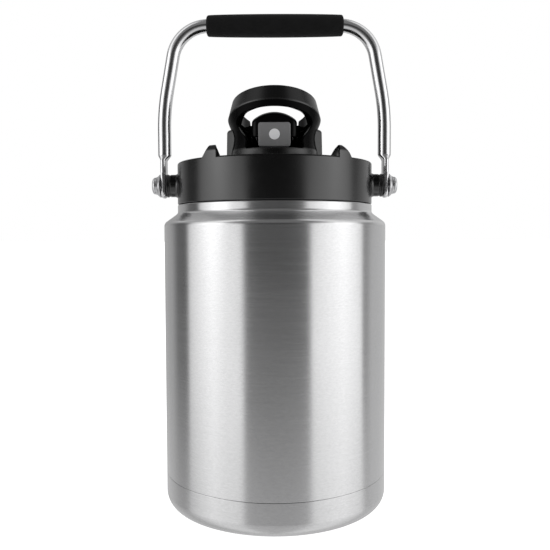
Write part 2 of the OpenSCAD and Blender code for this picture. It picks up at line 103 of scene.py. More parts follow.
def fillet(corners, closed=True, n=6, hold=0.15):
    """Outline through corners (x, y) or (x, y, radius), with each radius drawn as an arc.

    hold puts one more point at that distance before and after each arc, which keeps flats flat.
    """
    out = []
    m = len(corners)
    for i, corner in enumerate(corners):
        r = corner[2] if len(corner) > 2 else 0
        if r <= 0 or (not closed and i in (0, m - 1)):
            out.append(tuple(corner[:2]))
            continue
        a, b, c = (Vector(corners[k % m][:2]) for k in (i - 1, i, i + 1))
        u, v = (a - b).normalized(), (c - b).normalized()
        half = u.angle(v) / 2
        centre = b + (u + v).normalized() * (r / math.sin(half))
        first, last = b + u * (r / math.tan(half)), b + v * (r / math.tan(half))
        a0, a1 = (math.atan2(p.y - centre.y, p.x - centre.x) for p in (first, last))
        swing = (a1 - a0 + math.pi) % TAU - math.pi
        if hold:
            out.append(tuple(first + u * hold))
        for k in range(n + 1):
            w = a0 + swing * k / n
            out.append((centre.x + r * math.cos(w), centre.y + r * math.sin(w)))
        if hold:
            out.append(tuple(last + v * hold))
    return out


def inset(outline, d):
    """Closed counter-clockwise outline moved inwards by d at every vertex."""
    m = len(outline)
    out = []
    for i in range(m):
        a, b, c = (Vector(outline[k % m]) for k in (i - 1, i, i + 1))
        n1 = Vector((-(b - a).y, (b - a).x)).normalized()
        n2 = Vector((-(c - b).y, (c - b).x)).normalized()
        n = n1 + n2
        n = n / max(n.length_squared / 2, 0.4)
        out.append((b.x + n.x * d, b.y + n.y * d))
    return out


def smooth(points, t):
    """Value at t of a cubic curve through points (t, value)."""
    if t <= points[0][0]:
        return points[0][1]
    if t >= points[-1][0]:
        return points[-1][1]
    k = max(i for i in range(len(points) - 1) if points[i][0] <= t)

    def slope(i):
        lo, hi = max(i - 1, 0), min(i + 1, len(points) - 1)
        return (points[hi][1] - points[lo][1]) / (points[hi][0] - points[lo][0])

    (t0, v0), (t1, v1) = points[k], points[k + 1]
    h = t1 - t0
    s = (t - t0) / h
    m0, m1 = slope(k) * h, slope(k + 1) * h
    return (
        (2 * s**3 - 3 * s**2 + 1) * v0 + (s**3 - 2 * s**2 + s) * m0
        + (3 * s**2 - 2 * s**3) * v1 + (s**3 - s**2) * m1
    )


def line(points, t):
    """Value at t of straight pieces through points (t, value)."""
    for (t0, v0), (t1, v1) in zip(points, points[1:]):
        if t <= t1:
            return v0 + (v1 - v0) * max(0, t - t0) / (t1 - t0)
    return points[-1][1]


def ease(t):
    """Smooth step from 0 to 1."""
    t = min(max(t, 0), 1)
    return t * t * (3 - 2 * t)


def compass(n):
    """Sine and cosine of n equal steps round a circle."""
    return [(math.sin(TAU * i / n), math.cos(TAU * i / n)) for i in range(n)]


# ---- solids as (verts, faces)

def join(*parts):
    verts, faces = [], []
    for v, f in parts:
        base = len(verts)
        verts += v
        faces += [tuple(base + i for i in face) for face in f]
    return verts, faces


def moved(part, fn):
    return [fn(p) for p in part[0]], part[1]


def mirrored(part):
    return moved(part, lambda p: (-p[0], p[1], p[2]))


def both(part):
    return join(part, mirrored(part))


def loft(rings, closed_u=True, closed_v=False, caps=False):
    """Quads between rings of equal length; caps close the two end rings."""
    m = len(rings[0])
    verts = [p for ring in rings for p in ring]
    faces = []
    last = len(rings) if closed_v else len(rings) - 1
    for s in range(last):
        t = (s + 1) % len(rings)
        for i in range(m if closed_u else m - 1):
            k = (i + 1) % m
            faces.append((s * m + i, s * m + k, t * m + k, t * m + i))
    if caps:
        faces.append(tuple(range(m - 1, -1, -1)))
        faces.append(tuple((len(rings) - 1) * m + i for i in range(m)))
    return verts, faces


def lathe_z(profile, n):
    """Profile of (radius, z) turned about the Z axis."""
    rings = [[(r * s, -r * c, z) for r, z in profile] for s, c in compass(n)]
    return loft(rings, closed_v=True)


def lathe_x(profile, z0, n=96, y0=0.0, closed=True):
    """Profile of (x, radius) turned about the line y = y0, z = z0."""
    rings = [[(x, y0 + r * s, z0 + r * c) for x, r in profile] for s, c in compass(n)]
    return loft(rings, closed_u=closed, closed_v=True)


def prism(outline, stations, place):
    """Outline raised through (height, inset) stations; place maps (u, v, w) to a point."""
    rings = [[place(u, v, w) for u, v in inset(outline, d)] for w, d in stations]
    return loft(rings, caps=True)


def quarter(n):
    """n + 1 steps round a quarter circle, as (1 - sine, 1 - cosine)."""
    angles = [math.pi / 2 * k / n for k in range(n + 1)]
    return [(1 - math.sin(a), 1 - math.cos(a)) for a in angles]


def rounded(h0, h1, e0, e1, n=4):
    """Stations for a prism from h0 to h1 with edge radii e0 and e1."""
    s = 1 if h1 > h0 else -1
    start, end = [(h0, 0)], [(h1, 0)]
    if e0:
        start = [(h0 + s * e0 * q, e0 * p) for p, q in quarter(n)]
        start.append((h0 + s * (e0 + 0.1), 0))
    if e1:
        end = [(h1 - s * (e1 + 0.1), 0)]
        end += [(h1 - s * e1 * p, e1 * q) for p, q in quarter(n)]
    return start + end


def rect(x0, y0, x1, y1, r=0, **options):
    """Rectangle between two corners, with all its corners rounded by r."""
    return fillet([(x0, y0, r), (x1, y0, r), (x1, y1, r), (x0, y1, r)], **options)


def circle(r, n):
    return [(r * c, r * s) for s, c in compass(n)]


def rounded_rect(hx, hy, r, n=8):
    """Rounded rectangle with n steps in each corner, counter-clockwise."""
    out = []
    for cx, cy, a0 in ((1, 1, 0), (-1, 1, 90), (-1, -1, 180), (1, -1, 270)):
        for k in range(n + 1):
            a = math.radians(a0 + 90 * k / n)
            out.append((cx * (hx - r) + r * math.cos(a), cy * (hy - r) + r * math.sin(a)))
    return out


# ---- materials

def feed(nt, node, inputs):
    """Links each input that comes from a socket, and sets each plain value."""
    for key, value in inputs.items():
        if isinstance(value, bpy.types.NodeSocket):
            nt.links.new(value, node.inputs[key])
        else:
            node.inputs[key].default_value = value


def add_node(nt, kind, inputs=None, **settings):
    node = nt.nodes.new("ShaderNode" + kind)
    for key, value in settings.items():
        setattr(node, key, value)
    feed(nt, node, inputs or {})
    return node


def empty_tree(owner):
    owner.use_nodes = True
    owner.node_tree.nodes.clear()
    return owner.node_tree


def new_material(name):
    mat = bpy.data.materials.new(name)
    nt = empty_tree(mat)
    bsdf = add_node(nt, "BsdfPrincipled")
    add_node(nt, "OutputMaterial", {0: bsdf.outputs[0]})
    return mat, nt, bsdf, add_node(nt, "TexCoord").outputs["Object"]


def noise_node(nt, coord, scale, detail=3.0, rough=0.5, stretch=(1, 1, 1)):
    place = add_node(nt, "Mapping", {"Vector": coord, "Scale": stretch}).outputs[0]
    inputs = {"Vector": place, "Scale": scale, "Detail": detail, "Roughness": rough}
    return add_node(nt, "TexNoise", inputs).outputs[0]


def voronoi_node(nt, coord, scale, feature="F1"):
    node = add_node(nt, "TexVoronoi", {"Vector": coord, "Scale": scale}, feature=feature)
    return node.outputs["Distance"]


def remap(nt, value, lo, hi, a=0.0, b=1.0):
    """Value brought from the range a to b to the range lo to hi."""
    inputs = {"Value": value, "From Min": a, "From Max": b, "To Min": lo, "To Max": hi}
    return add_node(nt, "MapRange", inputs).outputs[0]


def math_node(nt, op, a, b):
    return add_node(nt, "Math", {0: a, 1: b}, operation=op).outputs[0]


def weighted(nt, *terms):
    """Sum of (value, weight) terms."""
    total = None
    for value, weight in terms:
        if weight != 1:
            value = math_node(nt, "MULTIPLY", value, weight)
        total = value if total is None else math_node(nt, "ADD", total, value)
    return total


def blend_colour(nt, factor, dark, light):
    ramp = add_node(nt, "ValToRGB", {0: factor})
    for stop, at, colour in zip(ramp.color_ramp.elements, (0.25, 0.75), (dark, light)):
        stop.position = at
        stop.color = (*colour, 1)
    return ramp.outputs[0]


def bump_node(nt, height, strength, distance):
    inputs = {"Height": height, "Strength": strength, "Distance": distance}
    return add_node(nt, "Bump", inputs).outputs[0]


def brushed_steel(name, dark, light, rough, aniso, grain=3600.0):
    """Steel with fine grain that runs round the Z axis, faint bands, flecks and a cloudy sheen."""
    mat, nt, bsdf, coord = new_material(name)
    fine = noise_node(nt, coord, 1.0, 4.0, 0.6, (26, 26, grain))
    coarse = noise_node(nt, coord, 1.0, 2.0, 0.5, (9, 9, grain / 7))
    cloud = noise_node(nt, coord, 14.0, 3.0, 0.55)
    fleck = noise_node(nt, coord, 1.0, 3.0, 0.6, (420, 420, 1100))
    brushing = weighted(nt, (fine, 0.8), (coarse, 0.2))
    tone = weighted(nt, (brushing, 0.45), (fleck, 0.55))
    grain_rough = remap(nt, brushing, rough - 0.04, rough + 0.04, 0.3, 0.7)
    feed(nt, bsdf, {
        "Base Color": blend_colour(nt, tone, dark, light),
        "Roughness": math_node(nt, "ADD", grain_rough, remap(nt, cloud, -0.015, 0.02, 0.35, 0.65)),
        "Normal": bump_node(nt, brushing, 0.12, 0.00002),
        "Metallic": 1.0,
        "Anisotropic": aniso,
        "Anisotropic Rotation": 0.25,
        "Tangent": add_node(nt, "Tangent", direction_type="RADIAL", axis="Z").outputs[0],
    })
    return mat


def polished_steel(name, colour, rough):
    """Polished tube steel with hairline scratches and a faint handling haze."""
    mat, nt, bsdf, coord = new_material(name)
    haze = noise_node(nt, coord, 45.0, 4.0, 0.6)
    lines = noise_node(nt, coord, 1.0, 2.0, 0.5, (1500, 1500, 60))
    haze_rough = remap(nt, haze, rough, rough + 0.05, 0.35, 0.7)
    feed(nt, bsdf, {
        "Base Color": blend_colour(nt, haze, tuple(c * 0.96 for c in colour), colour),
        "Roughness": math_node(nt, "ADD", haze_rough, remap(nt, lines, 0.0, 0.04, 0.55, 0.75)),
        "Normal": bump_node(nt, lines, 0.10, 0.00001),
        "Metallic": 1.0,
    })
    return mat


def faded_sheen(nt, coord, direction, stops):
    """Sheen level by the position along a direction, from stops of (mm, level); it paints highlight
    and shade into the sheen.
    """
    along = add_node(nt, "VectorMath", {0: coord, 1: direction}, operation="DOT_PRODUCT")
    lo, hi = stops[0][0], stops[-1][0]
    position = remap(nt, along.outputs["Value"], 0, 1, lo * MM, hi * MM)
    ramp = add_node(nt, "ValToRGB", {0: position})
    elements = ramp.color_ramp.elements
    elements[0].color = (*[stops[0][1]] * 3, 1)
    elements[-1].color = (*[stops[-1][1]] * 3, 1)
    for at, level in stops[1:-1]:
        elements.new((at - lo) / (hi - lo)).color = (level, level, level, 1)
    return ramp.outputs[0]


def moulded(name, dark, light, rough, grain=2600.0, depth=0.00004, spec=0.5, fade=None,
            painted_top_shade=False):
    """Moulded plastic: spark-eroded grain, soft sheen changes and light handling scuffs.

    fade: direction and stops for faded_sheen, a sheen level painted by height for painted highlight
    and painted shade.
    painted_top_shade: faces that look upwards get less sheen than the walls, painted shade on the
    tops.
    """
    mat, nt, bsdf, coord = new_material(name)
    fine = noise_node(nt, coord, grain, 2.0, 0.5)
    cells = voronoi_node(nt, coord, grain * 0.45, "SMOOTH_F1")
    cloud = noise_node(nt, coord, 38.0, 4.0, 0.6)
    scuff = noise_node(nt, coord, 1.0, 3.0, 0.55, (620, 45, 300))
    scuffs = remap(nt, scuff, 0.0, 1.0, 0.62, 0.74)
    cloud_rough = remap(nt, cloud, rough - 0.03, rough + 0.04, 0.3, 0.7)
    feed(nt, bsdf, {
        "Base Color": blend_colour(nt, weighted(nt, (cloud, 0.8), (scuffs, 0.25)), dark, light),
        "Roughness": weighted(nt, (cloud_rough, 1), (scuffs, 0.05)),
        "Normal": bump_node(nt, weighted(nt, (fine, 1), (cells, 0.6)), 0.35, depth),
        "Specular IOR Level": spec,
    })
    if fade:
        feed(nt, bsdf, {"Specular IOR Level": faded_sheen(nt, coord, *fade)})
    # Sheen cut on faces that look upwards: painted shade on the tops
    if painted_top_shade:
        facing = add_node(nt, "SeparateXYZ", {0: coord.node.outputs["Normal"]})
        sheen = remap(nt, facing.outputs[2], spec, 0.16 * spec, 0.06, 0.30)
        feed(nt, bsdf, {"Specular IOR Level": sheen})
    return mat


def foam(name, dark, light):
    """Closed-cell foam rubber: fine pores, mottled tone and shallow pitting."""
    mat, nt, bsdf, coord = new_material(name)
    pores = voronoi_node(nt, coord, 1500.0)
    fine = noise_node(nt, coord, 2600.0, 3.0, 0.6)
    mottle = noise_node(nt, coord, 170.0, 5.0, 0.65)
    pitting = weighted(nt, (fine, 1), (mottle, 1.5), (pores, 1.2))
    feed(nt, bsdf, {
        "Base Color": blend_colour(nt, mottle, dark, light),
        "Roughness": remap(nt, mottle, 0.78, 0.95, 0.3, 0.7),
        "Normal": bump_node(nt, pitting, 0.6, 0.00012),
        "Specular IOR Level": 0.2,
        "Sheen Weight": 0.03,
        "Sheen Roughness": 0.5,
    })
    return mat


def plain_metal(name, dark, light, rough, scale=900.0):
    """Small metal parts: turned or drawn surface with tarnish."""
    mat, nt, bsdf, coord = new_material(name)
    cloud = noise_node(nt, coord, 120.0, 4.0, 0.6)
    marks = noise_node(nt, coord, 1.0, 3.0, 0.5, (scale * 2, scale, scale))
    feed(nt, bsdf, {
        "Base Color": blend_colour(nt, cloud, dark, light),
        "Roughness": remap(nt, marks, rough - 0.05, rough + 0.1, 0.3, 0.7),
        "Normal": bump_node(nt, marks, 0.2, 0.00002),
        "Metallic": 1.0,
    })
    return mat


def silicone(name, dark, light):
    """Milky silicone rubber with a soft surface."""
    mat, nt, bsdf, coord = new_material(name)
    cloud = noise_node(nt, coord, 90.0, 4.0, 0.6)
    fine = noise_node(nt, coord, 1800.0, 2.0, 0.5)
    feed(nt, bsdf, {
        "Base Color": blend_colour(nt, cloud, dark, light),
        "Roughness": remap(nt, cloud, 0.42, 0.56, 0.3, 0.7),
        "Normal": bump_node(nt, fine, 0.25, 0.00003),
        "Subsurface Weight": 0.15,
        "Subsurface Radius": (0.002, 0.002, 0.002),
    })
    return mat


def grey(level, blue=0.0001):
    """Grey with a trace more blue."""
    return (level, level, level + blue)


# Dark and light tone of the black plastic of the loop, the cover and the spout head
BLACK = (grey(0.0020), grey(0.0036, 0.0002))
# Sheen stops, painted light: the wall of the head is dull above its foot, painted shade under the
# loop, and the loop is dull
# # underneath, painted shade, bright on its lower edge, a painted highlight, and in between above
# that
WALL_PAINTED_SHADE = [(254.9, 0.6), (256.2, 0.03)]
# Loop sheen by height: painted shade underneath and a painted highlight along the lower edge
LOOP_PAINTED_SHEEN = [(LOOP_Z * math.cos(TILT) + h, v)
             for h, v in ((0.25, 0.03), (0.45, 0.8), (1.2, 0.8), (1.8, 0.22))]

M_BODY = brushed_steel("brushed_steel", grey(0.585, 0.005), grey(0.70, 0.005), 0.215, 0.80)
M_BASE = brushed_steel("brushed_steel_base", grey(0.575, 0.005), grey(0.695, 0.005), 0.225, 0.80)
M_LINER = brushed_steel("liner_steel", grey(0.55, 0.01), grey(0.64, 0.01), 0.34, 0.6, 2400.0)
# The lid's upward faces have their sheen cut: painted shade on its tops
M_LID = moulded("lid_plastic", grey(0.0008), grey(0.0020), 0.20, spec=0.96, painted_top_shade=True)
M_HEAD = moulded("head_plastic", *BLACK, 0.24, spec=0.55)
# Darker copy of the head plastic with its sheen cut above the foot: painted shade on the wall under
# the loop
M_WALL_SHADED = moulded("wall_plastic_painted_shade", grey(0.0016), grey(0.0030, 0.0002), 0.26, spec=0.6,
                 fade=((0, 0, 1), WALL_PAINTED_SHADE))
# Sheen set by height along the tilted loop: painted shade underneath, painted highlight on the lower
# edge
M_LOOP = moulded("loop_plastic", *BLACK, 0.22, 3000.0,
                 fade=((0, math.sin(TILT), math.cos(TILT)), LOOP_PAINTED_SHEEN))
M_COVER = moulded("cover_plastic", *BLACK, 0.34, 3000.0, spec=0.13)
M_BUSH = moulded("bush_plastic", grey(0.0040, 0.0002), grey(0.0070, 0.0003), 0.30, spec=0.7)
M_BUTTON = moulded("button_plastic", grey(0.175, 0.003), grey(0.215, 0.003), 0.48, 2200.0, 0.00005)
M_DOT = moulded("dot_plastic", grey(0.78, 0.01), grey(0.86, 0.01), 0.42, 2200.0, 0.00003)
M_TUBE = polished_steel("polished_steel", grey(0.78, 0.01), 0.18)
M_CAP = polished_steel("polished_caps", grey(0.62, 0.01), 0.14)
M_FOAM = foam("foam_rubber", grey(0.0016), grey(0.0065, 0.0002))
M_PIN = plain_metal("pin_metal", grey(0.45, 0.01), grey(0.60, 0.01), 0.28)
M_BRASS = plain_metal("brass_metal", (0.48, 0.34, 0.13), (0.66, 0.50, 0.23), 0.32)
M_SOLDER = plain_metal("solder_metal", (0.38, 0.39, 0.40), (0.52, 0.53, 0.55), 0.40)
M_GETTER = plain_metal("getter_metal", grey(0.10, 0.01), grey(0.18, 0.01), 0.62, 400.0)
M_SILICONE = silicone("silicone_rubber", grey(0.50, 0), grey(0.62, -0.01))
M_FILL = foam("insulation_foam", (0.62, 0.58, 0.46), (0.78, 0.75, 0.63))


# ---- pieces

def mesh_object(name, part, mat, tidy=False):
    """Object with a part's mesh, in metres; tidy joins its double points and turns faces outwards."""
    verts, faces = part
    mesh = bpy.data.meshes.new(name)
    mesh.from_pydata([(x * MM, y * MM, z * MM) for x, y, z in verts], [], faces)
    if tidy:
        bm = bmesh.new()
        bm.from_mesh(mesh)
        bmesh.ops.remove_doubles(bm, verts=bm.verts, dist=1e-6)
        bmesh.ops.dissolve_degenerate(bm, edges=bm.edges, dist=1e-7)
        bmesh.ops.recalc_face_normals(bm, faces=bm.faces)
        bm.to_mesh(mesh)
        bm.free()
    mesh.materials.append(mat)
    obj = bpy.data.objects.new(name, mesh)
    bpy.context.scene.collection.objects.link(obj)
    return obj


def make(name, part, body, mat, replaces=(), sharp=None):
    """Piece that rides on a body; edges over `sharp` degrees stay hard."""
    piece = mesh_object(name, part, mat, tidy=True)
    piece.data.shade_smooth()
    if sharp:
        piece.data.set_sharp_from_angle(angle=math.radians(sharp))
    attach(piece, body)
    if replaces:
        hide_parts(*replaces)
    return piece


# Section of a thread ridge: place across its width, and height from root (0) to crest (1)
RIDGE = ((-0.5, -0.4), (-0.42, 0.15), (-0.3, 0.8), (-0.15, 1), (0.15, 1), (0.3, 0.8), (0.42, 0.15),
         (0.5, -0.4))


def thread(r_root, r_crest, z0, start):
    """Ridge wound up a round wall from height z0, tapered to nothing at both ends."""
    turns, width, rise = 1.7, 2.6, 10.0
    n = int(110 * turns)
    rings = []
    for i in range(n + 1):
        t = i / n
        a = start + TAU * turns * t
        taper = ease(min(1, t * turns * 9, (1 - t) * turns * 9))
        ring = []
        for across, height in RIDGE:
            r = r_root + (r_crest - r_root) * height * (taper if height > 0 else 1)
            ring.append((r * math.sin(a), -r * math.cos(a), z0 + rise * t + across * width))
        rings.append(ring)
    return loft(rings, caps=True)


# Steel body
SHEET = 1  # thickness of the steel
SEAM_GAP = 0.04
SHOULDER_Z = 203.7
SHOULDER_TOP = SHOULDER_Z + (BODY_R - NECK_R) / math.tan(math.radians(54))
STEP_Z = LID_Z0 - 0.4
outer = fillet([
    (BODY_R - SHEET, SEAM_Z + SEAM_GAP), (BODY_R, SEAM_Z + SEAM_GAP, 0.3),
    (BODY_R, SHOULDER_Z, 4), (NECK_R, SHOULDER_TOP, 3), (NECK_R, STEP_Z, 0.8),
    (MOUTH_R, STEP_Z, 0.8), (MOUTH_R, LIP_Z, 0.45), (MOUTH_R - SHEET, LIP_Z),
    (MOUTH_R - SHEET, STEP_Z - SHEET), (NECK_R - SHEET, STEP_Z - SHEET),
    (NECK_R - SHEET, SHOULDER_TOP - 0.5), (BODY_R - SHEET, SHOULDER_Z - 0.5),
], n=10)
shell = join(lathe_z(outer, 320), thread(MOUTH_R, MOUTH_R + 0.45, 220.5, 0.4))
make("jug_outer_wall", shell, "jug", M_BODY, ["outer_shell"], 50)

cup = fillet([
    (2, 3), (58, 3, 1.5), (62, 0, 1.5), (BODY_R, 0, 10.5), (BODY_R, SEAM_Z - SEAM_GAP, 0.3),
    (BODY_R - SHEET, SEAM_Z - SEAM_GAP), (BODY_R - SHEET, SHEET, 9.5), (62.5, SHEET), (58.5, 4),
    (2, 4),
], n=12)
make("jug_base_cup", lathe_z(cup, 320), "jug", M_BASE, ["base_cup"], 50)

disc = fillet([(0, 2.2), (30, 2.2, 0.3), (30, 3.0), (0, 3.0)], n=4)
make("jug_base_disc", lathe_z(disc, 128), "jug", M_BASE, ["base_disc"], 50)

liner = fillet([
    (0, 9), (75.8, 9, 10), (75.8, 201.8, 4), (64.2, 210.2, 3), (64.2, 235.6, 0.6),
    (65, 236), (65, LIP_Z), (63.4, LIP_Z, 0.5), (63.4, 210.8, 3), (75, 202.4, 4),
    (75, 9.8, 9.2), (0, 9.8),
], n=8)
make("jug_inner_wall", lathe_z(liner, 192), "jug", M_LINER, ["inner_liner"], 50)

gasket = rect(63.4, 237.3, MOUTH_R, 238.6, 0.25, n=3)
make("lid_seal_ring", lathe_z(gasket, 192), "gasket", M_SILICONE, ["lid_gasket"])


# Lid: skirt, rim and deck, four grip lugs and two handle bosses
lid_profile = fillet([
    (SKIRT_R, LID_Z0, 0.3), (LID_R, LID_Z0, 0.7), (LID_R, RIM_Z, 1.2), (RIM_R, RIM_Z, 0.5),
    (RIM_R, DECK_Z, 0.5), (31, DECK_Z), (31, DECK_LOW), (SKIRT_R, DECK_LOW, 0.4),
], n=6)


def lug_part(foot_in, top_in, top_out, foot_out, wall_in, bulge):
    """Lug on the front right: outline along X, and the inner edge where it meets the wall."""
    radius = LID_R + 0.02
    z_foot, z_peak, z_low = RIM_Z, 254.1, 243.9
    front_r, edge_r = 4.6, 0.5
    n_across = 10
    depths = [front_r * (k / 16) ** 2 for k in range(17)]
    depths += [5.2, 5.8, 6.5, 7.4, 8.2, 9, 10, 11, 12.2, 13.5, 16, 19, 22, 25]

    def point(x, depth, z):
        return (x, -math.sqrt(radius**2 - x * x) + depth, z)

    rings, grids = [], []
    for depth in depths:
        if depth < front_r:
            top = z_peak - front_r + math.sqrt(front_r**2 - (front_r - depth) ** 2)
        else:
            top = z_peak - 0.4 * max(0, depth - 5.5) * ease((depth - 5.5) / 3 + 0.2)
        top = max(top, z_low + 1)
        r = min(edge_r, 0.4 * (top - z_low))
        levels = [(z_low + (top - r - z_low) * k / 7, 0.0) for k in range(8)]
        levels += [(top - r * p, r * q) for p, q in quarter(6)[1:]]
        lean = ease(depth / 11)
        rows = []
        for z, ins in levels:
            s = (z - z_foot) / (z_peak - z_foot)
            facet = foot_in + (top_in - foot_in) * max(s, -0.2)
            x_in = wall_in + (facet - wall_in) * lean + ins
            bow = bulge * math.sin(math.pi * min(max(s, 0), 1))
            x_out = foot_out + (top_out - foot_out) * max(s, -0.3) + bow - ins
            rows.append((z, x_in, max(x_out, x_in + 0.4)))
        grid = [[point(x_in + (x_out - x_in) * k / n_across, depth, z) for k in range(n_across + 1)]
                for z, x_in, x_out in rows]
        grids.append(grid)
        ring = [row[0] for row in grid] + grid[-1][1:-1]
        ring += [row[-1] for row in reversed(grid)] + grid[0][-2:0:-1]
        rings.append(ring)
    return join(loft(rings), loft(grids[0], closed_u=False), loft(grids[-1], closed_u=False))


def boss_part():
    """Handle boss that flares into the round wall of the lid, on the +X side."""
    boss_r, flare, edge_r = 8.1, 2.4, 0.45
    face = [(0.0, BOSS_X), (3.0, BOSS_X), (boss_r - edge_r, BOSS_X)]
    face += [(boss_r - edge_r * p, BOSS_X - edge_r * q) for p, q in quarter(4)[1:]]
    face.append((boss_r, BOSS_X - 1.0))
    rings = []
    for s, c in compass(96):
        base = math.sqrt(LID_R**2 - ((boss_r + flare) * c) ** 2)
        ring = face + [(boss_r + flare * q, base + flare * p - 0.02) for p, q in quarter(8)]
        ring += [(boss_r + flare, base - 2.5), (0.0, 64.0)]
        rings.append([(x, r * c, PIVOT_Z + r * s) for r, x in ring])
    return loft(rings, closed_u=False, closed_v=True)


def turned(part):
    return moved(part, lambda p: (-p[0], -p[1], p[2]))


lug_r = lug_part(36.8, 41.0, 44.2, 51.0, 42.6, 1.1)
lug_l = mirrored(lug_part(35.8, 38.4, 42.9, 47.6, 38.2, 0.0))
lid = join(
    lathe_z(lid_profile, 320), lug_r, lug_l, turned(lug_r), turned(lug_l), both(boss_part()),
    thread(SKIRT_R, SKIRT_R - 0.45, 221.0, 3.2),
)
make("lid_body", lid, "lid", M_LID, ["lid_shell"], 40)

pan = fillet([
    (13.4, 222, 0.4), (62.6, 222, 2), (62.6, 238.9, 0.4), (RIM_R, 238.9, 0.4),
    (RIM_R, DECK_LOW, 0.3), (60.6, DECK_LOW), (60.6, 224, 1.5), (SPOUT_R + 0.1, 224),
    (SPOUT_R + 0.1, 223.8), (13.4, 223.8),
], n=5)


RIBS = 12


def rib(k):
    """One of the radial ribs under the pan."""
    a = TAU * (k + 0.5) / RIBS
    ca, sa = math.cos(a), math.sin(a)
    return prism(rect(20, -0.8, 57, 0.8, 0.5, n=3, hold=0), rounded(222.3, 221.2, 0, 0.4, 3),
                 lambda u, v, w: (u * ca - v * sa, u * sa + v * ca, w))


make("lid_pan", join(lathe_z(pan, 192), *[rib(k) for k in range(RIBS)]), "lid", M_HEAD,
     ["lid_liner"], 45)


# Handle pivots
bush = fillet([
    (BOSS_X, SCREW_R), (BOSS_X, 7.8, 0.2), (77.0, 7.8), (77.0, 8.3, 0.3), (78.4, 8.3, 0.3),
    (78.4, SCREW_R),
], n=4)
make("handle_bushes", both(lathe_x(bush, PIVOT_Z)), "lid", M_BUSH,
     ["pivot_spacers"], 40)
washer = fillet([
    (82.85, SCREW_R), (82.85, 8.3, 0.25), (83.5, 8.3, 0.4), (85.05, 6.9, 0.2), (85.05, SCREW_R),
], n=4)
make("handle_washers", both(lathe_x(washer, PIVOT_Z)), "lid", M_CAP,
     ["pivot_washers"], 40)


def screw_part():
    """Shank and head with a hexagon socket in its face."""
    sides, socket_r, dome_r, dome_foot = 96, 2.3, 2.0, 6.1
    shank = [(67.5, 0.0), (67.5, SCREW_R), (85.07, SCREW_R)]
    rim = [(85.07, 6.2), (85.2, 6.45), (85.4, 6.5), (86.2, 6.35), (86.4, 6.1), (86.55, 5.95),
           (86.7, 6.05), (86.85, 6.1)]
    dome = [(HEAD_X - dome_r * p, dome_foot - dome_r * q) for p, q in quarter(8)[1:]]
    socket = [(0.0, 0.25), (0.05, 0.08), (0.2, 0.0), (2.0, 0.0), (2.05, -0.08)]
    rings = []
    for i, (s, c) in enumerate(compass(sides)):
        a = TAU * i / sides
        flat = socket_r / math.cos((a + math.pi / 6) % (math.pi / 3) - math.pi / 6)
        ring = shank + rim + dome + [(HEAD_X - down, flat + out) for down, out in socket]
        ring.append((HEAD_X - 2.4, 0.0))
        rings.append([(x, r * s, PIVOT_Z + r * c) for x, r in ring])
    return loft(rings, closed_u=False, closed_v=True)


make("handle_screws", both(screw_part()), "lid", M_CAP, ["pivot_screws"], 35)


# Handle: bent tube with flattened ends that turn on the screws
STRAP_MID = (STRAP_X0 + STRAP_X1) / 2
STRAP_HALF = (STRAP_X1 - STRAP_X0) / 2
STRAP_WIDE = 6.5
STRAP_EDGE = STRAP_HALF - 0.02


def tube_part():
    """The bent tube from one strap over the grip to the other."""
    r, leg_x = 4.75, 80.0
    lean_z, lean_r, lean = 286.0, 160.0, math.radians(10)
    corner_r, corner = 26.0, math.radians(80)
    lean_start = lean_z - lean_r * math.tan(lean / 2)
    bend_x = leg_x - (GRIP_Z - lean_z) * math.tan(lean) - corner_r * math.tan(corner / 2)
    bend_z = GRIP_Z - corner_r
    stations = []

    def station(x, z, hx=r, hy=r, rc=r, tilt=0.0):
        """Section of half sizes hx, hy and corner radius rc, leaning inwards by tilt."""
        section = rounded_rect(hx, hy, rc, 12)
        stations.append([(x + a * math.cos(tilt), b, z + a * math.sin(tilt)) for a, b in section])

    for z in (238.5, 241, 244, 247, 249.2):
        station(STRAP_MID, z, STRAP_HALF, STRAP_WIDE, STRAP_EDGE)
    for k in range(1, 15):
        t = ease(k / 14)
        station(STRAP_MID + (leg_x - STRAP_MID) * t, 249.2 + 4.6 * k / 14,
                STRAP_HALF + (r - STRAP_HALF) * t, STRAP_WIDE + (r - STRAP_WIDE) * t,
                STRAP_EDGE + (r - STRAP_EDGE) * t)
    for z in (254.6, 258, 263, 268):
        station(leg_x, z)
    for k in range(21):
        a = lean * k / 20
        station(leg_x - lean_r * (1 - math.cos(a)), lean_start + lean_r * math.sin(a), tilt=a)
    x0, z0 = leg_x - lean_r * (1 - math.cos(lean)), lean_start + lean_r * math.sin(lean)
    x1, z1 = bend_x + corner_r * math.cos(lean), bend_z + corner_r * math.sin(lean)
    for k in range(1, 6):
        station(x0 + (x1 - x0) * k / 6, z0 + (z1 - z0) * k / 6, tilt=lean)
    for k in range(41):
        a = lean + corner * k / 40
        station(bend_x + corner_r * math.cos(a), bend_z + corner_r * math.sin(a), tilt=a)
    n = len(stations[0])
    half_turn = 2 * (n // 4)
    other_side = [[(-x, y, z) for x, y, z in ring] for ring in reversed(stations)]
    other_side = [[ring[(half_turn - 1 - i) % n] for i in range(n)] for ring in other_side]
    return loft(stations + other_side, caps=True)


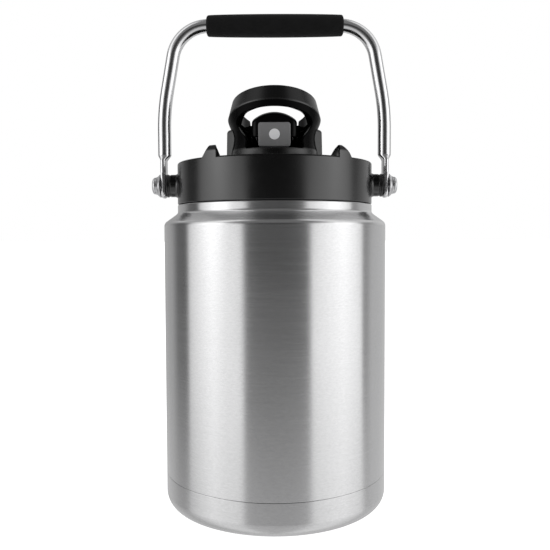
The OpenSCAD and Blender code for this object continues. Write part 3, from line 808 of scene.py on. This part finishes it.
def strap_end():
    """Flat end round the screw on the +X side, with rounded edges and rounded lower corners."""
    low, up_reach, corner_r, bore_r = PIVOT_Z - 222.3, 9.5, 4.5, SCREW_R + 0.05
    turn = quarter(8)[1:]
    rings = []
    for out, up in compass(192):
        reach = up_reach if up > 0 else low
        rho = min(STRAP_WIDE / max(abs(out), 1e-6), reach / max(abs(up), 1e-6))
        past_side = abs(rho * out) > STRAP_WIDE - corner_r
        if up < 0 and past_side and -rho * up > low - corner_r:
            cx, cz = math.copysign(STRAP_WIDE - corner_r, out), -(low - corner_r)
            dot = cx * out + cz * up
            rho = dot + math.sqrt(max(0, dot * dot - (cx * cx + cz * cz) + corner_r * corner_r))
        flat_r = max(4.3, rho - STRAP_EDGE)
        ring = [(STRAP_X0, bore_r), (STRAP_X0, flat_r)]
        ring += [(STRAP_X0 + STRAP_EDGE * q, rho - STRAP_EDGE * p) for p, q in turn[:-1]]
        ring += [(STRAP_X1 - STRAP_EDGE * q, rho - STRAP_EDGE * p) for p, q in reversed(turn)]
        ring += [(STRAP_X1, flat_r), (STRAP_X1, bore_r)]
        rings.append([(x, r * out, PIVOT_Z + r * up) for x, r in ring])
    return loft(rings, closed_v=True)


make("handle_bar", join(tube_part(), both(strap_end())), "handle", M_TUBE,
     ["handle_tube"], 45)

half_len = GRIP_HI.x
grip_r = (GRIP_HI.z - GRIP_LO.z) / 2
end_r = 7.45
end = [(half_len, 4.7), (half_len - 0.05, 5.4), (half_len - 0.35, 6.3)]
for k in range(7):
    w = math.radians(15 + 75 * k / 6)
    end.append((half_len - 1.9 + 1.5 * math.cos(w), end_r - 1.5 + 1.5 * math.sin(w)))
barrel = []
for k in range(1, 24):
    x = (half_len - 2.6) * (1 - k / 12)
    s = abs(x) / half_len
    barrel.append((x, grip_r - (grip_r - end_r - 0.01) * (0.25 * s + 0.75 * s**3)))
SLEEVE_SHIFT = 1.3  # the sleeve reaches a little further towards +X
sleeve = [(x + SLEEVE_SHIFT, r) for x, r in end] + barrel + [(-x, r) for x, r in reversed(end)]
grip = make("handle_sleeve", lathe_x(sleeve, GRIP_Z, 96), "handle", M_FOAM,
            ["handle_grip"], 70)


# Spout head: waisted wall with a front window, low behind to leave room for the hinge
# Radius of the outer and the inner face by height
OUT_R = [(238, 31.2), (247, 31.5), (251, 31.7), (254.7, 31.6), (257, 31.1), (260, 30.45),
         (264.4, 30.05), (268, 30.55), (272.4, 31.9), (275.4, 33.1), (278.2, 33.7), (290, 34.3)]
IN_R = [(238, 27), (246, 26), (251, 25), (264, 25), (271, 26.4), (290, 26.5)]
HEAD_R_OUT, HEAD_R_IN = 33.7, 26.5  # both radii at the top, under the loop
BACK_Z = 266.8  # top of the low wall behind the loop's arms
BAR = 30.0  # radius at which arc lengths round the wall are measured
# Front window on the outside of the wall: angle from the front in degrees, and height
WINDOW = [(39.9, 256.6), (40.7, 258.5), (41.3, 262.0), (46.3, 265.0), (52.6, 268.2), (55.6, 271.7),
          (53.2, 274.9), (48.0, 277.3), (41.0, 279.4), (31.2, 280.8), (20.0, 282.0), (10.0, 282.6)]
WINDOW_TOP, WINDOW_FOOT, WINDOW_MID = 282.8, 255.6, 268


def rest_plane(r, a):
    """Top of the wall just under the loop, at radius r and angle a in degrees."""
    return LOOP_Z - 0.4 + math.tan(TILT) * r * math.cos(math.radians(a))


def wall_top(r, cut):
    """Height of the wall's top at radius r, by angle: under the loop, and lower behind."""
    def top(a):
        a = abs((a + 180) % 360 - 180)
        return min(rest_plane(r, a), line(cut, a))
    return top


top_out = wall_top(HEAD_R_OUT, [(0, 300), (128, 300), (133, 269.7), (144, 269.7), (147, BACK_Z),
                                (180, BACK_Z)])
top_in = wall_top(HEAD_R_IN, [(0, 300), (122, 300), (134, 272.0), (139, 270.4), (142, BACK_Z),
                              (180, BACK_Z)])


def catmull(points, n):
    """Smooth curve through points, with n steps between each two."""
    out = []
    for i in range(len(points) - 1):
        p0 = points[max(i - 1, 0)]
        p1, p2 = points[i], points[i + 1]
        p3 = points[min(i + 2, len(points) - 1)]
        for k in range(n):
            t = k / n
            out.append(tuple(
                0.5 * (2 * b + (c - a) * t + (2 * a - 5 * b + 4 * c - d) * t * t
                       + (3 * b - a - 3 * c + d) * t**3)
                for a, b, c, d in zip(p0, p1, p2, p3)
            ))
    return out + [points[-1]]


def arc(a):
    return math.radians(a) * BAR


def window_tables():
    """Arc length and height of the window's outline, by the direction from its middle."""
    pts = [(arc(a), z) for a, z in WINDOW]
    curve = catmull(pts + [(0, WINDOW_TOP), (-pts[-1][0], pts[-1][1])], 10)
    curve = [q for q in curve if q[0] >= -1e-9]
    corner = [(pts[0][0] - p, WINDOW_FOOT + q) for p, q in quarter(10)[:-1]]
    foot = [(k, WINDOW_FOOT) for k in range(20)]
    table = sorted((math.atan2(z - WINDOW_MID, u), u, z) for u, z in foot + corner + curve)
    return [(f, u) for f, u, z in table], [(f, z) for f, u, z in table]


WINDOW_U, WINDOW_Z = window_tables()


def housing_wall():
    side, low, edge_r = 70.0, 240.0, 0.8
    n_low, n_side, n_top, n_back = 48, 56, 48, 84

    def front_edge(top):
        """Edge of the front patch, counter-clockwise from its lower left corner."""
        rise = top(side) - edge_r - low
        pts = [(-side + 2 * side * k / n_low, low) for k in range(n_low)]
        pts += [(side, low + rise * k / n_side) for k in range(n_side)]
        pts += [(a, top(a) - edge_r) for a in (side - 2 * side * k / n_top for k in range(n_top))]
        pts += [(-side, low + rise * (n_side - k) / n_side) for k in range(n_side)]
        return [(arc(a), z) for a, z in pts]

    def place(u, z, r):
        return (r * math.sin(u / BAR), -r * math.cos(u / BAR), z)

    outer_edge, inner_edge = front_edge(top_out), front_edge(top_in)
    m = len(outer_edge)
    hole = []
    for u, z in outer_edge:
        phi = math.atan2(z - WINDOW_MID, abs(u))
        hole.append((math.copysign(line(WINDOW_U, phi), u), line(WINDOW_Z, phi)))
    inner_hole = []
    for u, z in hole:
        widen = 1 + 0.10 * min(abs(u) / 20, 1)
        inner_hole.append((u * widen, z + 1.4 * ease((z - 274) / 5)))

    def normals(pts):
        out = []
        for i in range(m):
            a, b = Vector(pts[i - 1]), Vector(pts[(i + 1) % m])
            t = (b - a).normalized() if (b - a).length > 1e-6 else Vector((1, 0))
            out.append((t.y, -t.x))
        return out

    n_out, n_in = normals(hole), normals(inner_hole)

    def sheet(edge, inside, norm, radius, top):
        """One face of the wall: front patch from the window outwards, and strip round the back."""
        rings = []
        for k in range(15):
            t = (k / 14) ** 1.25
            ring = []
            for (bu, bz), (hu, hz), (nu, nz) in zip(edge, inside, norm):
                cu, cz = hu + nu * edge_r, hz + nz * edge_r
                z = cz + (bz - cz) * t
                ring.append(place(cu + (bu - cu) * t, z, smooth(radius, z)))
            rings.append(ring)
        strip = []
        for k in range(n_back + 1):
            a = side + (360 - 2 * side) * k / n_back
            rise = top(a) - edge_r - low
            column = [low + rise * j / n_side for j in range(n_side + 1)]
            strip.append([place(arc(a), z, smooth(radius, z)) for z in column])
        return join(loft(rings), loft(strip, closed_u=False))

    def window_edge(outline, norm, radius, inwards):
        """Quarter round from one face of the wall into the window."""
        rings = []
        for p, q in quarter(5):
            pts = [(u + nu * edge_r * p, z + nz * edge_r * p)
                   for (u, z), (nu, nz) in zip(outline, norm)]
            rings.append([(u, z, smooth(radius, z) - inwards * edge_r * q) for u, z in pts])
        return rings

    def top_edge(top, radius, inwards):
        """Quarter round from one face of the wall onto its top."""
        return [[(arc(a), top(a) - edge_r * p,
                  smooth(radius, top(a) - edge_r) - inwards * edge_r * q) for a in around]
                for p, q in quarter(5)]

    def bridge(outer, inner):
        """Both quarter rounds, joined across the thickness of the wall."""
        across = [[[v + (w - v) * s for v, w in zip(a, b)] for a, b in zip(outer[-1], inner[-1])]
                  for s in (0.25, 0.5, 0.75)]
        return loft([[place(*p) for p in ring] for ring in outer + across + inner[::-1]])

    behind = [side + (360 - 2 * side) * k / n_back for k in range(n_back)]
    around = [-side + 2 * side * k / n_top for k in range(n_top)] + behind
    around_low = [-side + 2 * side * k / n_low for k in range(n_low)] + behind
    foot = [[place(arc(a), low, smooth(radius, low)) for a in around_low] for radius in (OUT_R, IN_R)]
    return join(
        sheet(outer_edge, hole, n_out, OUT_R, top_out),
        sheet(inner_edge, inner_hole, n_in, IN_R, top_in),
        bridge(window_edge(hole, n_out, OUT_R, 1), window_edge(inner_hole, n_in, IN_R, -1)),
        bridge(top_edge(top_out, OUT_R, 1), top_edge(top_in, IN_R, -1)),
        loft(foot),
    )


def pod_part():
    """Upright rib beside the head, on the +X side, that widens a little downwards."""
    outline = fillet([
        (26.5, -9.4), (29.0, -7.9, 0.8), (34.2, -4.3, 1.0), (34.3, 12.2, 1.6), (28.6, 14.4, 0.8),
        (26.0, 14.4),
    ], n=5, hold=0)
    face_x, top_r, shoulder = 34.3, 3.0, 268.0
    stations = [(z, 0.0) for z in (243.0, 250, 258, 266, shoulder)]
    stations += [(shoulder + top_r * math.sin(a), top_r * (1 - math.cos(a)))
                 for a in (math.radians(deg) for deg in (15, 30, 45, 60, 75, 88))]
    rings = []
    for z, cut in stations:
        grow = 0.5 * (shoulder - min(z, shoulder)) / 25
        rings.append([(min(x + grow * (x > 30), face_x + grow - cut),
                       y - (grow * 0.6 if y < -3 else 0), z) for x, y in outline])
    return loft(rings, caps=True)


def ear_part():
    """Hinge ear on the +X side: round top on the pin, straight leg on the floor."""
    r = KNUCKLE_R
    top = [(r * math.cos(math.radians(a)), r * math.sin(math.radians(a))) for a in range(0, 181, 12)]
    outline = [(AXIS_Y + y, AXIS_Z + z) for y, z in top]
    outline += [(AXIS_Y - r, 262), (AXIS_Y - 5.5, 252), (AXIS_Y - 5.5, 250.5),
                (AXIS_Y + 0.5, 250.5), (AXIS_Y + 0.8, 262), (AXIS_Y + r, 268)]
    return prism(outline, rounded(10.35, 15.3, 0.4, 0.4, 3), lambda u, v, w: (w, u, v))


def upright(x, y, hx, hy, top, corner_r=0.3, edge_r=0.4, n=3):
    """Rounded post that stands on the head's floor, centred on (x, y)."""
    return prism(rounded_rect(hx, hy, corner_r, n), rounded(FLOOR_TOP, top, 0, edge_r, 3),
                 lambda u, v, w: (x + u, y + v, w))


RAIL_TOP = 261.5
floor_profile = [(SPOUT_R + 0.1, 248), (SPOUT_R + 0.1, 251), (26, 251), (29, 251), (29, 248),
                 (26, 248)]
collar = fillet([
    (30.4, 243.5), (31.9, 243.5), (31.9, 245.6, 0.5), (31.0, 246.6, 0.6), (30.4, 247.2),
], n=4)
wall = join(
    housing_wall(), both(ear_part()), both(upright(18.1, 16.0, 1.2, 2.5, 277.0, 0.5, 0.5, 4)),
    lathe_z(floor_profile, 128), both(upright(6.55, -16.7, 1.25, 4.3, RAIL_TOP)),
    upright(0, -11.95, 7.8, 0.5, RAIL_TOP, edge_r=0.3),
)
head = join(both(pod_part()), lathe_z(collar, 192))
make("spout_head", head, "lid", M_HEAD, ["spout_housing"], 45)
make("spout_head_wall", wall, "lid", M_WALL_SHADED, sharp=45)

spout = fillet([
    (9, 220), (SPOUT_R, 220, 0.3), (SPOUT_R, 246), (14.5, 246), (14.5, 248), (SPOUT_R, 248),
    (SPOUT_R, SPOUT_TOP, 0.9), (9, SPOUT_TOP, 0.9),
], n=6)
make("drinking_spout", lathe_z(spout, 96), "lid", M_HEAD, ["spout_tube"], 45)

pin = fillet([(PIN_LO.x, 0), (PIN_LO.x, PIN_R, 0.4), (PIN_HI.x, PIN_R, 0.4), (PIN_HI.x, 0)],
             closed=False, n=4)
make("cover_pin", lathe_x(pin, AXIS_Z, 48, AXIS_Y, closed=False), "lid", M_PIN,
     ["hinge_pin"], 45)


def spring_part():
    """Two coils of a torsion spring with short legs, on the +X side."""
    x0, coil_r, wire_r, turns, steps = 15.75, 2.2, 0.38, 1.75, 49
    path = [(x0, AXIS_Y - coil_r, AXIS_Z - 4.5), (x0, AXIS_Y - coil_r, AXIS_Z - 2.0)]
    for k in range(1, steps + 1):
        a = math.pi + TAU * turns * k / steps
        path.append((x0 + k / steps, AXIS_Y + coil_r * math.cos(a), AXIS_Z - coil_r * math.sin(a)))
    rings = []
    for i, p in enumerate(path):
        t = (Vector(path[min(i + 1, steps + 1)]) - Vector(path[max(i - 1, 0)])).normalized()
        side = (Vector((1, 0, 0)) - t * t.x).normalized()
        other = t.cross(side)
        rings.append([tuple(Vector(p) + side * a + other * b) for a, b in circle(wire_r, 12)])
    return loft(rings, caps=True)


make("cover_springs", both(spring_part()), "lid", M_PIN, ["cover_spring"], 60)


# Finger loop: tilted ring, open at the back, with an eye on each arm
def loop_part():
    outline = fillet([
        (25.5, 0, 1.3), (LOOP_R, 0, 1.1), (LOOP_R - 2.9, LOOP_H, 1.3), (25.7, LOOP_H, 1.2),
    ], n=7, hold=0.2)
    middle = Vector((28.8, 6.2))
    arm_x, eye_x = 18.2, 22.7  # inner side of the arms at the hinge, and outer side of the eyes
    ca, sa = math.cos(TILT), math.sin(TILT)

    def ring(t, shrink=0.0, x_end=arm_x + 0.5):
        """Section at t along the loop, from -1 at one arm's end to 1 at the other's."""
        pts = []
        for corner in outline:
            q = middle + (Vector(corner) - middle) * (1 - shrink)
            a = t * (math.pi - math.asin(x_end / q.x))
            x, y = q.x * math.sin(a), -q.x * math.cos(a)
            # the arms lose height towards the hinge
            back = max(0.0, y - 1.0)
            q.y *= min(LOOP_H, LOOP_H - 0.24 * back * ease(back / 8)) / LOOP_H
            pts.append((x, y * ca + q.y * sa, LOOP_Z - y * sa + q.y * ca))
        return pts

    n = 150
    ends = [(0.10 * p, arm_x + 0.5 * q) for p, q in quarter(3)]
    rings = [ring(-1, *end) for end in ends]
    rings += [ring(-1 + 2 * k / n) for k in range(1, n)]
    rings += [ring(1, *end) for end in reversed(ends)]
    eye = lathe_x(fillet([
        (arm_x, BORE_R, 0.1), (arm_x, EYE_R, 0.5), (eye_x, EYE_R, 0.5), (eye_x, BORE_R, 0.1),
    ], n=4), AXIS_Z, 64, AXIS_Y)
    return join(loft(rings, caps=True), both(eye))


make("carry_loop", loop_part(), "loop", M_LOOP, ["finger_loop"], 45)


# Flip cover: domed top, open below and behind, with a knuckle on the pin
def cover_part():
    base = rounded_rect(16, 19.5, 4.0, 10)
    dense = []
    for (x0, y0), (x1, y1) in zip(base, base[1:] + base[:1]):
        steps = max(1, int(math.hypot(x1 - x0, y1 - y0) / 1.6))
        dense += [(x0 + (x1 - x0) * k / steps, y0 + (y1 - y0) * k / steps) for k in range(steps)]
    n = len(dense)
    wall_t, edge_r, lip_r, inner_r = 2.8, 1.5, 0.5, 1.2
    dome_r, crown_r, ceiling_z = 23.4, 50.0, 277.0

    def dome(x, y):
        across = dome_r - math.sqrt(dome_r**2 - min(abs(x), 20) ** 2)
        return COVER_TOP - across - crown_r + math.sqrt(crown_r**2 - (y + 2) ** 2)

    def foot(y):
        """Lower edge of the walls, which rises behind to clear the hinge."""
        return 264.0 + 10.4 * ease((y - 5.5) / 4.0)

    outside = [[(x, y, foot(y) + lip_r * q) for x, y in inset(dense, lip_r * p)]
               for p, q in quarter(2)]
    for s in (0.08, 0.3, 0.55, 0.8, 0.95):
        outside.append([(x, y, foot(y) + lip_r + (dome(x, y) - edge_r - foot(y) - lip_r) * s)
                        for x, y in dense])
    outside += [[(x, y, dome(x, y) - edge_r * p) for x, y in inset(dense, edge_r * q)]
                for p, q in quarter(6)]
    edge = inset(dense, edge_r)
    outside += [[(x * s, y * s, dome(x * s, y * s)) for x, y in edge]
                for s in (0.94, 0.86, 0.76, 0.64, 0.5, 0.36, 0.22, 0.1)]

    inner = inset(dense, wall_t)
    inside = [[(x * s, y * s, ceiling_z) for x, y in inner] for s in (0.1, 0.4, 0.7, 0.9)]
    inside += [[(x, y, max(ceiling_z - inner_r * p, foot(y) + 0.6))
                for x, y in inset(dense, wall_t + inner_r * q)] for p, q in reversed(quarter(5))]
    inside.append([(x, y, min(foot(y) + 0.6, ceiling_z - 1.4)) for x, y in inner])
    inside.append([(x, y, min(foot(y), ceiling_z - 1.6)) for x, y in inset(dense, wall_t - 0.4)])

    top, under = loft(outside), loft(inside)
    top[1].append(tuple(range(len(top[0]) - n, len(top[0]))))
    under[1].append(tuple(range(n)))
    verts, faces = join(top, under)
    last = len(verts) - n
    faces += [(i, (i + 1) % n, last + (i + 1) % n, last + i) for i in range(n)]
    half = KNUCKLE_HALF
    knuckle = fillet([
        (-half, BORE_R, 0.1), (-half, KNUCKLE_R, 0.5), (half, KNUCKLE_R, 0.5), (half, BORE_R, 0.1),
    ], n=4)
    web = prism(rect(15.5, 275.0, 24.5, 280.28), rounded(-half, half, 0.5, 0.5, 3),
                lambda u, v, w: (w, u, v))
    return join((verts, faces), lathe_x(knuckle, AXIS_Z, 64, AXIS_Y), web)


make("spout_cover", cover_part(), "cover", M_COVER, ["flip_cover"], 45)


# Push button
half_w, half_h = (BUTTON_HI.x - BUTTON_LO.x) / 2, (BUTTON_HI.z - BUTTON_LO.z) / 2
button_z = (BUTTON_HI.z + BUTTON_LO.z) / 2
plate = prism(rounded_rect(half_w, half_h, 1.8, 8),
              rounded(BUTTON_LO.y + 4.2, BUTTON_LO.y, 0.3, 0.9, 6),
              lambda u, v, w: (u, w, button_z + v))
stem = prism(rounded_rect(5, 2.45, 0.4, 4), rounded(BUTTON_LO.y + 3.4, -16, 0, 0.3, 3),
             lambda u, v, w: (u, w, 259.05 + v))
make("release_button", join(plate, stem), "button", M_BUTTON, ["latch_button"], 45)
dot_r = (DOT_HI.x - DOT_LO.x) / 2
dot_z = (DOT_HI.z + DOT_LO.z) / 2
dot = prism(circle(dot_r, 64), rounded(DOT_HI.y, DOT_LO.y - 0.12, 0, 0.22, 4),
            lambda u, v, w: (u, w, dot_z + v))
make("button_mark", dot, "button", M_DOT, ["button_dot"], 45)

# CAD nodes that stay get their finished materials
for node, mat in {
    "vacuum_getter": M_GETTER, "evacuation_seal": M_SOLDER, "lid_insulation": M_FILL,
    "vent_valve": M_SILICONE, "pivot_inserts": M_BRASS, "spout_oring": M_SILICONE,
    "cover_seal": M_SILICONE, "button_spring": M_PIN,
}.items():
    for slot in bpy.data.objects[node].material_slots:
        slot.material = mat


# ---- floor, light, camera

def floor_material():
    """Pale matt floor that glows a little, so that it ends in the backdrop's white."""
    mat = bpy.data.materials.new("pale_floor")
    nt = empty_tree(mat)
    diffuse = add_node(nt, "BsdfDiffuse", {"Color": (0.9, 0.9, 0.9, 1)})
    glow = add_node(nt, "Emission", {"Strength": 0.85})
    both_shaders = add_node(nt, "AddShader", {0: diffuse.outputs[0], 1: glow.outputs[0]})
    add_node(nt, "OutputMaterial", {0: both_shaders.outputs[0]})
    return mat


FLOOR_RINGS = (5, 100, 300, 900, 3000, 9000, 40000, 200000)
verts, faces = loft([[(x, y, -0.2) for x, y in circle(r, 96)] for r in FLOOR_RINGS])
faces.append(tuple(range(96)))
floor = mesh_object("floor", (verts, faces), floor_material())
floor.visible_glossy = False


def studio_world():
    """Two tall soft boxes at the front left and right, dark between them, and grey walls behind."""
    world = bpy.data.worlds.new("studio")
    nt = empty_tree(world)
    ray = add_node(nt, "SeparateXYZ", {0: add_node(nt, "TexCoord").outputs["Generated"]})
    minus_y = math_node(nt, "MULTIPLY", ray.outputs[1], -1.0)
    azimuth = math_node(nt, "ARCTAN2", ray.outputs[0], minus_y)
    turn = math_node(nt, "ADD", math_node(nt, "DIVIDE", azimuth, TAU), 0.5)

    def bands(*stops):
        """Brightness by azimuth, from stops of (degrees from the front, level)."""
        ramp = add_node(nt, "ValToRGB", {0: turn})
        elements = ramp.color_ramp.elements
        elements.remove(elements[-1])
        elements[0].position = 0.0
        elements[0].color = (*[stops[0][1]] * 3, 1)
        for deg, level in stops[1:]:
            elements.new((deg + 180) / 360).color = (level, level, level, 1)
        return ramp.outputs[0]

    def above(below, over, lo, hi):
        """Changes from one brightness to the other between two elevations in degrees."""
        sines = {"From Min": math.sin(math.radians(lo)), "From Max": math.sin(math.radians(hi))}
        factor = add_node(nt, "MapRange", {"Value": ray.outputs[2], **sines},
                          interpolation_type="SMOOTHSTEP").outputs[0]
        inputs = {"Factor": factor, 6: below, 7: over}
        return add_node(nt, "Mix", inputs, data_type="RGBA").outputs[2]

    low = bands(
        (-180, .75), (-130, .62), (-109, .54), (-98, .58), (-88, .74), (-65, .96), (-45, .88),
        (-36, .84), (-31, .70), (-25, .63), (0, .60), (24, .63), (33, .70), (38, .86), (60, .98),
        (73, 1.02), (85, .92), (98, .84), (108, .66), (125, .66), (180, .75))
    level = bands(
        (-180, .30), (-158, .48), (-130, .44), (-117, .17), (-103, .13), (-99, .2), (-96, 1.0),
        (-84, 1.2), (-65, 1.5), (-51, 1.30), (-36, 1.33), (-33, 1.2), (-29.5, .28), (-26, .15),
        (-15, .105), (0, .095), (15, .105), (24, .125), (32, .17), (35, .5), (37.5, 1.25),
        (45, 1.31), (73, 1.51), (90, 1.35), (97, 1.2), (100.5, .34), (106, .36), (115, .60),
        (158, .58), (180, .30))
    raised = bands(
        (-180, .35), (-140, .45), (-117, .12), (-101, .12), (-95, .8), (-82, 1.5), (-68, 2.3),
        (-57, 1.9), (-48, 1.1), (-37, .7), (-31, .18), (-24, .06), (-14, .03), (10, .03),
        (22, .07), (31, .2), (38, .7), (48, 1.2), (60, 1.6), (73, 2.1), (84, 1.6), (96, .9),
        (102, .3), (110, .3), (130, .65), (150, .7), (180, .35))
    high = bands(
        (-180, .25), (-162, .35), (-142, .70), (-122, .44), (-108, .52), (-92, .95), (-76, 1.3),
        (-62, 1.1), (-54, .50), (-43, .26), (-25, .20), (0, .19), (25, .19), (52, .22), (59, .50),
        (65, .85), (76, 1.1), (90, 1.1), (104, .85), (118, .72), (142, .75), (162, .35),
        (180, .25))
    zenith = (0.17, 0.17, 0.17, 1)
    room = above(low, level, -27, -5)
    room = above(room, raised, 0, 7)
    room = above(room, high, 18, 30)
    room = above(room, zenith, 70, 79)
    light = add_node(nt, "Background", {0: room})
    backdrop = add_node(nt, "Background", {0: (1, 1, 1, 1)})
    seen = add_node(nt, "LightPath").outputs["Is Camera Ray"]
    choose = add_node(nt, "MixShader", {0: seen, 1: light.outputs[0], 2: backdrop.outputs[0]})
    add_node(nt, "OutputWorld", {0: choose.outputs[0]})
    bpy.context.scene.world = world


studio_world()

CAMERA_PLACE = (0, -0.525, 0.1928)
LOOK_DOWN, ROLL = 2.93, -0.225  # degrees
camera_data = bpy.data.cameras.new("camera")
camera_data.sensor_width = 36.0
camera_data.lens = 46.78
camera_data.clip_start = 0.01
camera_data.clip_end = 50.0
camera = bpy.data.objects.new("camera", camera_data)
bpy.context.scene.collection.objects.link(camera)
camera.matrix_world = (
    Matrix.Translation(CAMERA_PLACE)
    @ Matrix.Rotation(math.radians(90 - LOOK_DOWN), 4, "X")
    @ Matrix.Rotation(math.radians(ROLL), 4, "Z")
)
bpy.context.scene.camera = camera
bpy.context.scene.view_settings.view_transform = "Standard"
